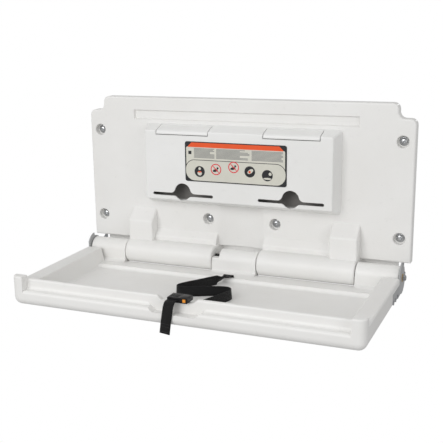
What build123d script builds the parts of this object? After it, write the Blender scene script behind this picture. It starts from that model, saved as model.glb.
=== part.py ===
"""Wall-mounted changing table with a fold-down bed, shown open.

Frame: the wall is the plane y = 0 and the object stands out towards -Y, +Z is up, +X is to the
right of somebody facing it. The origin is the centre of the four outer wall fixings.
"""
from build123d import *
import math
import os

# ---- driving dimensions, in millimetres ------------------------------------------------------
# wall panel
width = 890.0                # overall width
panel_height = 392.0
panel_depth = 28.0           # wall plane to the panel's front face
skin = 4.0                   # moulded wall thickness
skirt_drop = 22.0            # flange behind the bed's knuckles, below the panel's lower edge
skirt_t = 8.0
skirt_half = 412.0
top_strip = 37.0             # height of the narrower strip above the shoulders
shoulder = 43.0              # how far each shoulder steps in
panel_corner = 16.0
panel_edge = 5.0             # rounding of the panel's front edge
soft = 5.0                   # rounding of raised mouldings and knuckle ends
soft_slope = 10.0            # rounding where a moulding's front meets its sloped top
rib = 3.0
groove_half = 309.0          # long shallow recess near the top edge
groove_h = 26.0
groove_top = 34.0
groove_deep = 7.0
groove_lean = 3.0            # draft of the groove's walls
cup_lead = 1.5               # chamfer round a fixing recess
pillar_w = 72.0
pillar_out = 34.0
pillar_top = 118.0           # above the hinge axis
pillar_slope = 32.0
ramp_out = 16.0
ramp_top = 62.0              # above the hinge axis
ramp_slope = 19.0
channel_deep = 12.0

# wall fixings
fix_dx = 830.0               # outer holes, four of them
fix_dz = 240.0
fix_top = 92.0               # upper row to the panel's top edge
inner_dx = 188.0             # the lower pair between them
inner_dz = 10.0              # inner pair above the lower row
fix_r = 4.5
cup_r = 15.0
cup_floor = 12.0             # wall plane to the floor of a fixing recess
boss_wall = 4.0
washer_t = 2.5

# hinge
hinge_drop = 28.0            # hinge axis below the panel's lower edge
hinge_out = 30.0             # hinge axis in front of the panel's face
knuckle_r = 32.0             # panel knuckles
bed_knuckle_r = 28.0
knuckle_in = 63.0            # inner and outer ends of the panel's two knuckles
knuckle_out = 319.0
knuckle_gap = 2.0
rod_r = 5.0
rod_clear = 1.0              # round the rod in the plastic walls
running = 0.05               # radial clearance of a turning fit
bush_wall = 3.0
bush_length = 24.0
fold_angle = 90.0
damper_r = 13.0
damper_length = 92.0
core_wall = 1.0
plate_t = 3.0                # steel of the hinge brackets
ear_x = (96.0, 186.0, 286.0)
ear_half = 13.0
fit_gap = 0.5                # round a steel piece let into the plastic
bracket_low = 70.0           # base plate, above the hinge axis
bracket_high = 112.0

# liner dispenser on the panel
box_depth = 42.0
box_half = 256.0             # front face, half width
box_flare = 12.0             # the sides lean out by this much at the panel
box_drop = 82.0              # front face's upper edge below the panel's top edge
box_height = 184.0
box_top_flare = 14.0
box_low_flare = 16.0
box_wall = 3.0
box_corner = 6.0             # rounding of the dispenser's corners, seen from the front
box_soft = 4.0               # rounding of its front edges
lid_soft = 9.0               # rounding where its front meets its sloped top
lid_x = 149.0                # centre of each lid and of each opening
lid_width = 146.0
lid_gap = 1.8
lid_t = 2.4
lid_lip = 9.0
lid_back = 9.0               # lid hinge axis in front of the panel's face
lid_barrel_r = 3.0
lid_pin_r = 1.5
lid_pin_length = 10.0
ear_w = 6.0
slot_half = 87.0
slot_h = 8.0
slot_up = 15.0               # slot's middle above the front face's lower edge
finger_r = 23.0
finger_up = 23.0
finger_soft = 13.0           # rounding where the finger hole runs into the slot
tab = 18.0
tab_t = 3.0
box_screw_r = 2.0
label_w = 278.0
label_h = 105.0
label_t = 0.8
label_drop = 25.0            # below the front face's upper edge

# bed
bed_half = 433.0
bed_reach = 398.0            # hinge axis to the front face
bed_back = 38.0              # hinge axis to the bed's rear edge between its knuckles
bed_below = 46.0             # underside below the hinge axis
rim_up = 8.0                 # side rims above the hinge axis
front_up = 17.0
horn_up = 27.0
horn_w = 31.0
horn_d = 24.0
floor_below = 39.0
ledge_below = 29.0
ledge_w = 28.0
rim_w = 42.0
front_step = 22.0            # shelf in front of the front rim
front_shelf = 8.0            # shelf below the hinge axis
front_rim_t = 12.0
basin_slope = 12.0
bed_corner = 18.0
bed_round = 20.0
cell_in = 7.0                # how far the rims' hollows reach into the bed's rounded edges
rim_soft = 5.0               # rounding of the rims and horns
lip_soft = 4.0               # rounding of the side rims' inner edges
front_lip_soft = 3.0
shelf_soft = 8.0             # rounding along the front shelf
basin_soft = 8.0             # rounding between the basin's walls and floor
basin_corner = 22.0          # rounding of the basin's corners, seen from above
cover_t = 3.0
notch_half = 39.0
notch_slope = 12.0
notch_deep = 10.0
tube_side = 20.0             # stiffening tubes in the rims
tube_wall = 1.5

# side arms and their stops
arm_t = 3.0
arm_inset = 0.5
arm_disc_r = 40.0
arm_reach = 120.0
arm_h = 30.0
arm_low = 38.0
stop_pitch = 36.0            # stop pin's distance from the hinge axis
stop_pin_r = 3.0
sleeve_r = 4.5
stop_gap = 0.3
nut_r = 7.5
nut_t = 6.5
screw_r = 2.5
head_r = 5.0
head_t = 2.0

# strap and buckle
strap_w = 25.0
strap_t = 1.8
strap_clear = 0.4
anchor_back = 56.0           # strap slot in front of the hinge axis

# ---- derived places --------------------------------------------------------------------------
panel_top = fix_dz / 2 + fix_top
panel_bottom = panel_top - panel_height
face_y = -panel_depth
hinge_z = panel_bottom - hinge_drop
hinge_y = face_y - hinge_out
strip_half = width / 2 - shoulder
inner_z = -fix_dz / 2 + inner_dz
fixings = [(sx * fix_dx / 2, sz * fix_dz / 2) for sx in (-1, 1) for sz in (-1, 1)]
fixings += [(sx * inner_dx / 2, inner_z) for sx in (-1, 1)]
groove_z1 = panel_top - groove_top
groove_z0 = groove_z1 - groove_h
box_front = face_y - box_depth
box_z1 = panel_top - box_drop
box_z0 = box_z1 - box_height
arm_x = bed_half - arm_t - arm_inset            # inner face of a side arm
bed_knuckle_end = arm_x - knuckle_gap
channel_half = knuckle_in + 3
bush_r = rod_r + running + bush_wall
bed_front = hinge_y - bed_reach
rim_face = bed_front + front_step               # front rim's outer face
rim_inner = rim_face + front_rim_t
basin_half = bed_half - rim_w
floor_z = hinge_z - floor_below
ledge_z = hinge_z - ledge_below
skin_z = hinge_z - bed_below + cover_t          # joint between the bed and its underside


def block(x0, x1, y0, y1, z0, z1):
    """A box between two corners."""
    return Pos((x0 + x1) / 2, (y0 + y1) / 2, (z0 + z1) / 2) * Box(
        abs(x1 - x0), abs(y1 - y0), abs(z1 - z0))


def rod_x(r, x0, x1, y, z):
    """A cylinder along X."""
    return Pos((x0 + x1) / 2, y, z) * Rot(0, 90, 0) * Cylinder(r, abs(x1 - x0))


def rod_y(r, x, y0, y1, z):
    """A cylinder along Y."""
    return Pos(x, (y0 + y1) / 2, z) * Rot(90, 0, 0) * Cylinder(r, abs(y1 - y0))


def rod_z(r, x, y, z0, z1):
    """A cylinder along Z."""
    return Pos(x, y, (z0 + z1) / 2) * Cylinder(r, abs(z1 - z0))


def prism_x(points, x0, x1):
    """A polygon in the YZ plane, carried along X from x0 to x1."""
    face = make_face(Polyline(*[(0, y, z) for y, z in points], close=True))
    return Pos(min(x0, x1), 0, 0) * extrude(face, amount=abs(x1 - x0), dir=(1, 0, 0))


def prism_y(points, y0, y1):
    """A polygon in the XZ plane, carried along Y from y0 to y1."""
    face = make_face(Polyline(*[(x, 0, z) for x, z in points], close=True))
    return Pos(0, min(y0, y1), 0) * extrude(face, amount=abs(y1 - y0), dir=(0, 1, 0))


def rect_y(y, x0, x1, z0, z1):
    """A rectangle that faces the wall, at one y."""
    return make_face(Polyline((x0, y, z0), (x1, y, z0), (x1, y, z1), (x0, y, z1), close=True))


def rect_z(z, x0, x1, y0, y1):
    """A level rectangle at one height."""
    return make_face(Polyline((x0, y0, z), (x1, y0, z), (x1, y1, z), (x0, y1, z), close=True))


def from_hinge(points):
    """Points given from the hinge axis, as points of the part."""
    return [(hinge_y + y, hinge_z + z) for y, z in points]


def both(shape):
    """A shape and its mirror image across the middle of the object."""
    return [shape, mirror(shape, about=Plane.YZ)]


# ---- wall panel ------------------------------------------------------------------------------
def panel_blank():
    """The stepped slab with its rounded outline and front edge."""
    h, s, step = width / 2, strip_half, panel_top - top_strip
    corners = [(-h, panel_bottom), (h, panel_bottom), (h, step), (s, step), (s, panel_top),
               (-s, panel_top), (-s, step), (-h, step)]
    face = make_face(Polyline(*[(x, 0, z) for x, z in corners], close=True))
    upper = [v for v in face.vertices() if v.Z > panel_bottom + 1]
    face = fillet(upper, panel_corner)
    slab = extrude(face, amount=panel_depth, dir=(0, -1, 0))
    front = slab.faces().sort_by(Axis.Y)[0]
    return fillet(front.edges(), panel_edge)


def knuckle(x0, x1, wall=0.0):
    """A panel knuckle between two ends: a barrel round the hinge axis with a foot to the wall."""
    r = knuckle_r - wall
    barrel = rod_x(r, x0, x1, hinge_y, hinge_z)
    foot = block(x0, x1, hinge_y, 0, hinge_z - r, hinge_z + r)
    shape = barrel + foot
    if wall:
        return shape
    ends = [e for x in (x0, x1) for e in shape.edges() if abs(e.center().X - x) < 0.01
            and e.center().Y < -1]
    return fillet(ends, soft)


def ramp(x0, x1):
    """The thickened foot of the panel above a knuckle, with its sloped top."""
    top = hinge_z + ramp_top
    out = face_y - ramp_out
    shape = prism_x([(face_y + 1, hinge_z), (out, hinge_z), (out, top - ramp_slope), (face_y, top),
                     (face_y + 1, top)], x0, x1)
    edge = [e for e in shape.edges().filter_by(Axis.X) if e.center().Y < out + 1
            and e.center().Z > hinge_z + 1]
    return fillet(edge, soft_slope)


def pillar(wall=0.0):
    """The raised block beside a knuckle, sloped at the top."""
    top = hinge_z + pillar_top
    out = face_y - pillar_out + wall
    back = face_y + 1 if wall == 0 else 0
    shape = prism_x([(back, hinge_z + wall), (out, hinge_z + wall), (out, top - pillar_slope - wall / 2),
                     (face_y, top - wall), (back, top - wall)],
                    knuckle_out - pillar_w + wall, knuckle_out - wall)
    if wall:
        return shape
    brow = [e for e in shape.edges().filter_by(Axis.X) if e.center().Y < out + 1
            and e.center().Z > hinge_z + 1]
    shape = fillet(brow, soft_slope)
    sides = [e for e in shape.edges() if e.center().Y < face_y - 1 and e.center().Z > hinge_z + 1
             and abs(e.tangent_at(0.5).X) < 0.5]
    return fillet(sides, soft)


def panel_cells():
    """The pockets moulded into the back of the panel, between its ribs."""
    edges_x = [channel_half + skin, (knuckle_out + channel_half) / 2, knuckle_out, width / 2]
    low = hinge_z + knuckle_r
    rows = [(low, bracket_row(), panel_depth - skin),
            (bracket_row() + rib, groove_z0 - skin - rib, panel_depth - skin),
            (groove_z0 - skin, groove_z1 + skin, panel_depth - groove_deep - skin),
            (groove_z1 + skin + rib, panel_top - skin, panel_depth - skin)]
    cells = []
    for i, (z0, z1, deep) in enumerate(rows):
        for x0, x1 in zip(edges_x, edges_x[1:]):
            outer = width / 2 - skin if z0 < panel_top - top_strip - skin * 2 else strip_half - skin
            x1 = min(x1 - rib, outer) if x1 < width / 2 else outer
            top = z1
            if outer > strip_half and x1 > strip_half - skin:
                top = min(z1, panel_top - top_strip - skin)
            cells += both(block(x0, x1, 0, -deep, z0, top))
        middle = panel_depth - channel_deep - skin if i < 2 else deep
        cells.append(block(-channel_half, channel_half, 0, -middle, z0, z1))
    return cells


def bracket_row():
    """Height of the rib above the hinge brackets."""
    return hinge_z + pillar_top + skin


def wall_panel():
    """The moulded back panel with its knuckles, fixing recesses and ribbed back."""
    body = panel_blank()
    body += block(-skirt_half, skirt_half, -skirt_t, 0, panel_bottom - skirt_drop, panel_bottom + skin)
    for piece in (knuckle(knuckle_in, knuckle_out), ramp(channel_half, knuckle_out), pillar()):
        for p in both(piece):
            body += p
    sag = channel_deep
    half = channel_half
    big = (half ** 2 + sag ** 2) / (2 * sag)
    top = box_z0 - box_low_flare + skin
    scoop = rod_z(big, 0, face_y + sag - big, panel_bottom - 1, top)
    body -= scoop & block(-half, half, face_y - 1, 0, panel_bottom - 1, top)
    lean = groove_lean
    body -= loft([rect_y(face_y, -groove_half, groove_half, groove_z0, groove_z1),
                  rect_y(face_y + groove_deep, -groove_half + lean, groove_half - lean,
                         groove_z0 + lean, groove_z1 - lean)])
    for cell in panel_cells():
        body -= cell
    for p in both(knuckle(knuckle_in + skin, knuckle_out - skin, skin)) + both(pillar(skin)):
        body -= p
    for x, z in fixings:
        body += rod_y(cup_r + boss_wall, x, 0, face_y + skin, z)
    for x, z in fixings:
        body -= rod_y(cup_r, x, -cup_floor, face_y - 1, z)
        body -= Pos(x, face_y + cup_lead / 2, z) * Rot(90, 0, 0) * Cone(cup_r, cup_r + cup_lead, cup_lead)
        body -= rod_y(fix_r, x, 1, face_y, z)
    for x, z in box_screw_places():
        body += rod_y(box_screw_r * 2.5, x, face_y + 1, face_y + 12, z)
        body -= rod_y(box_screw_r, x, face_y + 12, face_y - 1, z)
    body -= rod_x(rod_r + rod_clear, -knuckle_out - 1, knuckle_out + 1, hinge_y, hinge_z)
    for side in (-1, 1):
        for steel in bracket_pieces(side, fit_gap):
            body -= steel
    return body


# ---- hinge brackets and rod ------------------------------------------------------------------
def bracket_pieces(side, grow=0.0):
    """The base plate, ears and stop lug of one hinge bracket."""
    g = grow
    x0, x1 = inner_dx / 2 - cup_r, bed_knuckle_end - knuckle_gap
    base = block(x0 - g, fix_dx / 2 + cup_r + g, 0, -plate_t - g, hinge_z + bracket_low - g,
                 hinge_z + bracket_high + g)
    pieces = [base]
    for x in ear_x:
        low = prism_x(from_hinge([(hinge_out + panel_depth, bracket_low + 2),
                                  (hinge_out + panel_depth, -ear_half - g),
                                  (0, -ear_half - g), (0, ear_half + g),
                                  (hinge_out + 8, ear_half + 8 + g),
                                  (hinge_out + 14, bracket_low + 2)]), x - g, x + plate_t + g)
        pieces.append(low + rod_x(ear_half + g, x - g, x + plate_t + g, hinge_y, hinge_z))
    reach = hinge_out + panel_depth
    near = bed_knuckle_r + knuckle_gap
    lug = prism_x(from_hinge([(reach, bracket_low + 2), (reach, -stop_pin_r * 4),
                              (near, -stop_pin_r * 4), (near, stop_pin_r * 4),
                              (reach - 8, stop_pin_r * 4 + 12), (reach - 8, bracket_low + 2)]),
                  x1 - plate_t - g, x1 + g)
    pieces.append(lug)
    if side < 0:
        pieces = [mirror(p, about=Plane.YZ) for p in pieces]
    return pieces


def hinge_bracket(side):
    """A welded steel bracket: it carries the rod, the fixings and one stop pin."""
    body = None
    for p in bracket_pieces(side):
        body = p if body is None else body + p
    for x, z in fixings:
        if z < 0:
            body -= rod_y(fix_r, x, 1, -plate_t - 1, z)
    body -= rod_x(rod_r, -width, width, hinge_y, hinge_z)
    body -= rod_x(stop_pin_r, -width, width, hinge_y + stop_pitch, hinge_z)
    return body


def hinge_rod():
    """The steel rod through every knuckle, turned down to a thread at each end."""
    end = arm_x + arm_t + washer_t * 0.6 + nut_t + 1
    return rod_x(rod_r, -end, end, hinge_y, hinge_z)


def rod_washers():
    """A plain washer outside each side arm."""
    x = arm_x + arm_t + running
    ring = rod_x(rod_r * 2, x, x + 1.4, hinge_y, hinge_z) - rod_x(rod_r, x - 1, x + 3, hinge_y, hinge_z)
    return Compound(children=both(ring))


def rod_nuts():
    """A brass lock nut on each end of the rod."""
    x = arm_x + arm_t + running + 1.4
    nut = Pos(x, hinge_y, hinge_z) * Rot(0, 90, 0) * extrude(RegularPolygon(nut_r, 6), nut_t)
    nut -= rod_x(rod_r, x - 1, x + nut_t + 1, hinge_y, hinge_z)
    return Compound(children=both(nut))


def stop_pins():
    """The pins that the side arms come to rest on, open and folded."""
    x0 = bed_knuckle_end - knuckle_gap - plate_t
    return Compound(children=both(rod_x(stop_pin_r, x0, arm_x + arm_t, hinge_y + stop_pitch, hinge_z)))


def stop_sleeves():
    """A rubber sleeve on each stop pin."""
    x0 = bed_knuckle_end - knuckle_gap + 0.5
    y = hinge_y + stop_pitch
    ring = rod_x(sleeve_r, x0, arm_x + arm_t, y, hinge_z)
    ring -= rod_x(stop_pin_r, x0 - 1, arm_x + arm_t + 1, y, hinge_z)
    return Compound(children=both(ring))


def damper_core():
    """The damper's inner sleeve, keyed to the rod."""
    x0 = -knuckle_in + knuckle_gap + 3
    core = rod_x(rod_r + core_wall, x0, x0 + damper_length - 4, hinge_y, hinge_z)
    return core - rod_x(rod_r, x0 - 1, x0 + damper_length, hinge_y, hinge_z)


def damper_body():
    """The damper's case, held in the bed's middle knuckle and filled with thick grease."""
    x0 = -knuckle_in + knuckle_gap + 1
    case = rod_x(damper_r, x0, x0 + damper_length, hinge_y, hinge_z)
    return case - rod_x(rod_r + core_wall + running, x0 - 1, x0 + damper_length + 1, hinge_y, hinge_z)


def fixing_washers():
    """A pressed steel cup washer in the floor of each fixing recess."""
    rings = []
    for x, z in fixings:
        ring = rod_y(cup_r - fit_gap, x, -cup_floor, -cup_floor - washer_t, z)
        ring -= rod_y(cup_r - 4, x, -cup_floor - 1, -cup_floor - washer_t - 1, z)
        ring += rod_y(cup_r - 3, x, -cup_floor, -cup_floor - 1, z)
        rings.append(ring - rod_y(fix_r, x, 1, face_y, z))
    return Compound(children=rings)


# ---- liner dispenser -------------------------------------------------------------------------
def box_section(y, half, z0, z1):
    """One upright section of the dispenser, with its rounded corners."""
    face = rect_y(y, -half, half, z0, z1)
    return fillet(face.vertices(), box_corner)


def box_solid(inset=0.0):
    """The dispenser's outside, or the space inside it when inset by its wall."""
    i = inset
    front = box_front + i
    base = box_section(face_y, box_half + box_flare - i, box_z0 - box_low_flare + i,
                       box_z1 + box_top_flare - i)
    nose = box_section(front, box_half - i, box_z0 + i, box_z1 - i)
    shape = loft([base, nose])
    if i:
        return shape
    rim = shape.faces().sort_by(Axis.Y)[0].edges()
    return fillet(rim, box_soft)


def slope_z(y, down=0.0):
    """Height of the dispenser's sloped top at one y."""
    return box_z1 + box_top_flare * (y - box_front) / box_depth - down


def lid_profile(grow=0.0):
    """Section of a lid: sloped plate, front lip and hinge end."""
    g = grow
    back = face_y - lid_back
    t = lid_t
    return [(back, slope_z(back) + g), (box_front - g, box_z1 + g), (box_front - g, box_z1 - lid_lip - g),
            (box_front + t + g, box_z1 - lid_lip - g), (box_front + t + g, box_z1 - t - g),
            (back, slope_z(back, t) - g)]


def lid_axis():
    """The lid hinge axis, as y and z."""
    back = face_y - lid_back
    return back, slope_z(back, lid_barrel_r)


def liner_lid(side):
    """A refill lid, hinged at its rear edge on two pins."""
    x0, x1 = side * lid_x - lid_width / 2, side * lid_x + lid_width / 2
    y, z = lid_axis()
    plate = prism_x(lid_profile(), x0, x1)
    inner = [e for e in plate.edges().filter_by(Axis.X)
             if abs(e.center().Y - box_front - lid_t) < 0.1 and e.center().Z > box_z1 - lid_lip]
    plate = fillet(inner, lid_soft - lid_t)
    outer = [e for e in plate.edges().filter_by(Axis.X)
             if e.center().Y < box_front + 0.1 and e.center().Z > box_z1 - 1]
    lid = fillet(outer, lid_soft) + rod_x(lid_barrel_r, x0, x1, y, z)
    return lid - rod_x(lid_pin_r + running, x0 - 1, x1 + 1, y, z)


def lid_pins():
    """Four short pins that the two lids turn on."""
    y, z = lid_axis()
    pins = []
    for side in (-1, 1):
        for end in (-1, 1):
            x = side * lid_x + end * (lid_width / 2)
            pins.append(rod_x(lid_pin_r, x - lid_pin_length / 2, x + lid_pin_length / 2, y, z))
    return Compound(children=pins)


def box_screw_places():
    """Where the dispenser is screwed to the panel, as x and z."""
    inset = box_wall + tab / 2 - 1
    x = box_half + box_flare - inset
    z0, z1 = box_z0 - box_low_flare + inset, box_z1 + box_top_flare - inset
    return [(sx * a, z) for sx in (-1, 1) for a in (x, tab) for z in (z0, z1)]


def liner_opening(x):
    """A paper slot with round ends that widens into a finger hole."""
    eye = Pos(0, finger_up - slot_up) * Circle(finger_r) + SlotOverall(slot_half * 2, slot_h)
    eye = fillet([v for v in eye.vertices() if abs(v.X) < slot_half / 2], finger_soft)
    back = Plane((x, box_front + box_wall + 6, box_z0 + slot_up), x_dir=(1, 0, 0), z_dir=(0, -1, 0))
    return back * extrude(eye, amount=box_wall + 7)


def liner_box():
    """The dispenser: a thin moulded cover with two bins, open above at the lids and in front."""
    shell = box_solid() - box_solid(box_wall)
    inner = box_solid(box_wall * 0.6)
    divider = block(-box_wall / 2, box_wall / 2, face_y, box_front + 1, -width, width) & inner
    shell += divider
    y, z = lid_axis()
    for side in (-1, 1):
        c = side * lid_x
        shell -= prism_x(lid_profile(lid_gap), c - lid_width / 2 - lid_gap, c + lid_width / 2 + lid_gap)
        x0, x1 = c - lid_width / 2 - lid_gap, c + lid_width / 2 + lid_gap
        clear = lid_barrel_r + lid_gap
        shell -= rod_x(clear, x0, x1, y, z) + block(x0, x1, y - clear, y + clear, z, z + clear * 2)
        for end in (-1, 1):
            x0 = c + end * (lid_width / 2 + lid_gap)
            ear = block(x0, x0 + end * ear_w, y - 5, y + 5, z - 6, z + 4) & inner
            shell += ear - rod_x(lid_pin_r, x0 - ear_w * 2, x0 + ear_w * 2, y, z)
            shell -= rod_x(lid_pin_r, x0 - ear_w, x0 + ear_w, y, z)
        shell -= liner_opening(c)
    for x, z in box_screw_places():
        pad = block(x - tab / 2, x + tab / 2, face_y, face_y - tab_t, z - tab / 2, z + tab / 2)
        shell += pad & box_solid(box_wall / 3)
        shell -= rod_y(box_screw_r, x, face_y + 1, face_y - tab_t - 1, z)
    return shell


def box_screws():
    """Pan-head screws that hold the dispenser to the panel."""
    screws = []
    for x, z in box_screw_places():
        head = face_y - tab_t
        screws.append(rod_y(box_screw_r, x, face_y + 11, head, z)
                      + rod_y(box_screw_r * 2, x, head, head - 2, z))
    return Compound(children=screws)


def label_plate():
    """A thin printed panel on the front of the dispenser."""
    z1 = box_z1 - label_drop
    plate = block(-label_w / 2, label_w / 2, box_front, box_front - label_t, z1 - label_h, z1)
    return fillet(plate.edges().filter_by(Axis.Y), 4)


# ---- bed -------------------------------------------------------------------------------------
def bed_blank():
    """The bed's outer block with its rounded lower edges."""
    z0, z1 = hinge_z - bed_below, hinge_z + rim_up
    plan = rect_z(z0, -bed_half, bed_half, bed_front, hinge_y - bed_back)
    corners = [v for v in plan.vertices() if v.Y < bed_front + 1]
    plan = fillet(corners, bed_corner)
    slab = extrude(plan, amount=z1 - z0, dir=(0, 0, 1))
    low = slab.faces().sort_by(Axis.Z)[0]
    rounded = [e for e in low.edges() if e.center().Y < hinge_y - bed_back - 1]
    return fillet(rounded, bed_round)


def basin_cut():
    """The basin: open above, with leaning walls, rounded corners and a ledge along the rear."""
    lean = math.atan2(basin_slope, rim_up + floor_below)
    up = 20.0                                  # the cut runs this far above the side rims
    grow = up * math.tan(lean)
    rear = hinge_y - bed_back
    mouth = rect_z(hinge_z + rim_up + up, -basin_half - grow, basin_half + grow, rim_inner - grow, rear + 60)
    mouth = fillet([v for v in mouth.vertices() if v.Y < rear], basin_corner + grow)
    tool = extrude(mouth, amount=rim_up + up + ledge_below, dir=(0, 0, -1), taper=math.degrees(lean))
    low_in = (rim_up + ledge_below) * math.tan(lean)
    well = rect_z(ledge_z, -basin_half + low_in, basin_half - low_in, rim_inner + low_in, rear - ledge_w)
    well = fillet(well.vertices(), basin_corner - low_in)
    well = extrude(well, amount=floor_below - ledge_below, dir=(0, 0, -1), taper=math.degrees(lean))
    return tool + fillet(well.faces().sort_by(Axis.Z)[0].edges(), basin_soft)


def bed_knuckle(x0, x1):
    """A bed knuckle with rounded ends and the web that joins it to the bed."""
    web = prism_x(from_hinge([(0, -bed_knuckle_r), (-bed_back - 2, -bed_below + 6),
                              (-bed_back - 2, -ledge_below), (-bed_knuckle_r, -ledge_below + 7),
                              (-bed_knuckle_r, 0), (0, 0)]), x0, x1)
    barrel = rod_x(bed_knuckle_r, x0, x1, hinge_y, hinge_z)
    return fillet(barrel.edges().filter_by(GeomType.CIRCLE), soft / 2) + web


def bed_cradle(x0, x1):
    """The ledge's rear edge, which curls under a panel knuckle and closes the gap below it."""
    low = -knuckle_r - skin * 2
    lip = prism_x(from_hinge([(-bed_back - 2, low - 2), (-skin, low), (-skin, -ledge_below),
                              (-bed_back - 2, -ledge_below)]), x0 - 1, x1 + 1)
    return lip - rod_x(knuckle_r + knuckle_gap, x0, x1, hinge_y, hinge_z)


def soften(shape, up, radius, wanted):
    """Round those of the bed's long level edges at one height that are wanted."""
    edges = [e for e in shape.edges() if abs(e.center().Z - hinge_z - up) < 0.1
             and e.length > bed_round * 4 and wanted(e)]
    return fillet(edges, radius)


def changing_bed():
    """The bed's upper moulding: basin, rims, horns at the front corners and three knuckles."""
    bed = bed_blank()
    horn_in = bed_half - horn_w
    shelf_z = hinge_z - front_shelf
    bed -= block(-horn_in, horn_in, bed_front - 1, rim_face, shelf_z, hinge_z + rim_up + 1)
    rail = block(-horn_in, horn_in, rim_face, rim_inner, shelf_z, hinge_z + front_up)
    bed += fillet([e for e in rail.edges().filter_by(Axis.X) if e.center().Y < rim_face + 1
                   and e.center().Z > shelf_z + 1], rim_soft)
    horn = block(horn_in, bed_half, bed_front, bed_front + horn_d, shelf_z, hinge_z + horn_up)
    corner = [e for e in horn.edges().filter_by(Axis.Z) if e.center().Y < bed_front + 1
              and e.center().X > bed_half - 1]
    horn = fillet(corner, bed_corner)
    horn = fillet(horn.faces().sort_by(Axis.Z)[-1].edges(), rim_soft - 1)
    for p in both(horn):
        bed += p
    bed -= basin_cut()
    n0, n1 = notch_half, notch_half + notch_slope
    top, low = hinge_z + front_up, hinge_z + front_up - notch_deep
    bed -= prism_y([(-n1, top), (-n0, low), (n0, low), (n1, top), (n1, top + 5), (-n1, top + 5)],
                   rim_face - 1, rim_inner + basin_slope)
    s0, s1 = n1 + 2, n1 + 2 + notch_slope
    bed -= prism_y([(-s1, shelf_z), (-s0, shelf_z - notch_deep), (s0, shelf_z - notch_deep),
                    (s1, shelf_z), (s1, shelf_z + 1), (-s1, shelf_z + 1)], bed_front - 1, rim_face)
    bed = soften(bed, rim_up, lip_soft, lambda e: abs(abs(e.center().X) - basin_half) < 3)
    bed = soften(bed, front_up, front_lip_soft, lambda e: e.center().Y > rim_face + rim_soft + 1)
    bed = soften(bed, rim_up, rim_soft, lambda e: abs(e.center().X) > bed_half - 0.1)
    bed = soften(bed, -front_shelf, shelf_soft, lambda e: e.center().Y < bed_front + 0.1)
    bed = soften(bed, -front_shelf, shelf_soft, lambda e: abs(e.center().Y - rim_face) < 0.1)
    middle = knuckle_in - knuckle_gap
    outer = knuckle_out + knuckle_gap
    bed += bed_knuckle(-middle, middle)
    for p in both(bed_knuckle(outer, bed_knuckle_end)) + both(bed_cradle(middle, outer)):
        bed += p
    for cut in bed_cuts():
        bed -= cut
    return bed


def bed_cuts():
    """Hollows in the rims, bores, the arm pockets and the strap's slot."""
    z0 = hinge_z - bed_below
    rear = hinge_y - bed_back
    inner = basin_half + skin
    wide = bed_half - bed_round + cell_in
    arm_end = hinge_y - arm_reach
    front = bed_front + bed_round - cell_in
    cuts = [block(-width, width, bed_front - 9, rear + 9, z0 - 1, skin_z) & bed_under_zone()]
    top = hinge_z + rim_up - skin
    cuts += both(block(inner, wide, arm_end - skin, rear - 8, skin_z, top))
    cuts += both(block(inner, wide, bed_front + horn_d + 2, arm_end - skin + 1, skin_z, top))
    lane_y = rim_inner - 2
    shelf = hinge_z - front_shelf - skin
    s1 = notch_half + 2 * notch_slope + 2
    cuts += both(block(s1 + rib, inner - rib, front, lane_y, skin_z, shelf))
    cuts.append(block(-s1, s1, front, lane_y, skin_z, shelf - notch_deep))
    x, y0, z1 = front_tube_box()
    cuts.append(block(-x - fit_gap, x + fit_gap, y0 - fit_gap, y0 + z1 + fit_gap, skin_z, skin_z + z1 + 2))
    cuts.append(rod_x(bush_r, -bed_half, bed_half, hinge_y, hinge_z))
    x0 = -knuckle_in + knuckle_gap
    cuts.append(rod_x(damper_r, x0 - 1, x0 + 1 + damper_length, hinge_y, hinge_z))
    cuts.append(block(x0 - 1, x0 + 20, hinge_y - 40, hinge_y + 40, hinge_z + 9, hinge_z + 40))
    pocket = block(arm_x, bed_half + 1, rear + 9, arm_end - 1, hinge_z - arm_low - 1,
                   hinge_z - arm_low + arm_h + 1)
    cuts += both(pocket)
    y = hinge_y - anchor_back
    cuts.append(block(-strap_w / 2 - 1.5, strap_w / 2 + 1.5, y - 2, y + 2, skin_z, ledge_z + 1))
    cuts.append(block(-26, 26, y - 11, y + 11, skin_z, skin_z + 5))
    for x, yy, z in arm_screw_places():
        cuts += both(rod_x(screw_r, x - 16, x + 1, yy, z))
    for x, yy in cover_screw_places():
        cuts.append(rod_z(screw_r, x, yy, skin_z - 1, skin_z + 10))
        cuts.append(rod_z(head_r, x, yy, z0 - width, z0 + 1.6))
    return cuts


def bed_under_zone():
    """Everything below the joint between the bed and its underside."""
    return block(-width, width, bed_front - 9, hinge_y - bed_back, hinge_z - bed_below - 1, skin_z)


def cover_screw_places():
    """Screws through the underside, up into the bed's front and side walls."""
    front = rim_inner - 2 + 6
    return [(x, front) for x in (-300, -180, 180, 300)] + [(x, hinge_y - bed_back - 4) for x in (-200, 200)]


def bed_underside():
    """The flat lower skin that closes the rims."""
    cover = bed_blank() & bed_under_zone()
    for x, y in cover_screw_places():
        cover -= rod_z(screw_r, x, y, hinge_z - bed_below - 1, skin_z + 1)
        cover -= rod_z(head_r, x, y, hinge_z - bed_below - 1, hinge_z - bed_below + 1.6)
    return cover


def cover_screws():
    """Countersunk screws that hold the underside."""
    low = hinge_z - bed_below
    return Compound(children=[rod_z(head_r, x, y, low, low + 1.6) + rod_z(screw_r, x, y, low + 1.6, skin_z + 9)
                              for x, y in cover_screw_places()])


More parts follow.
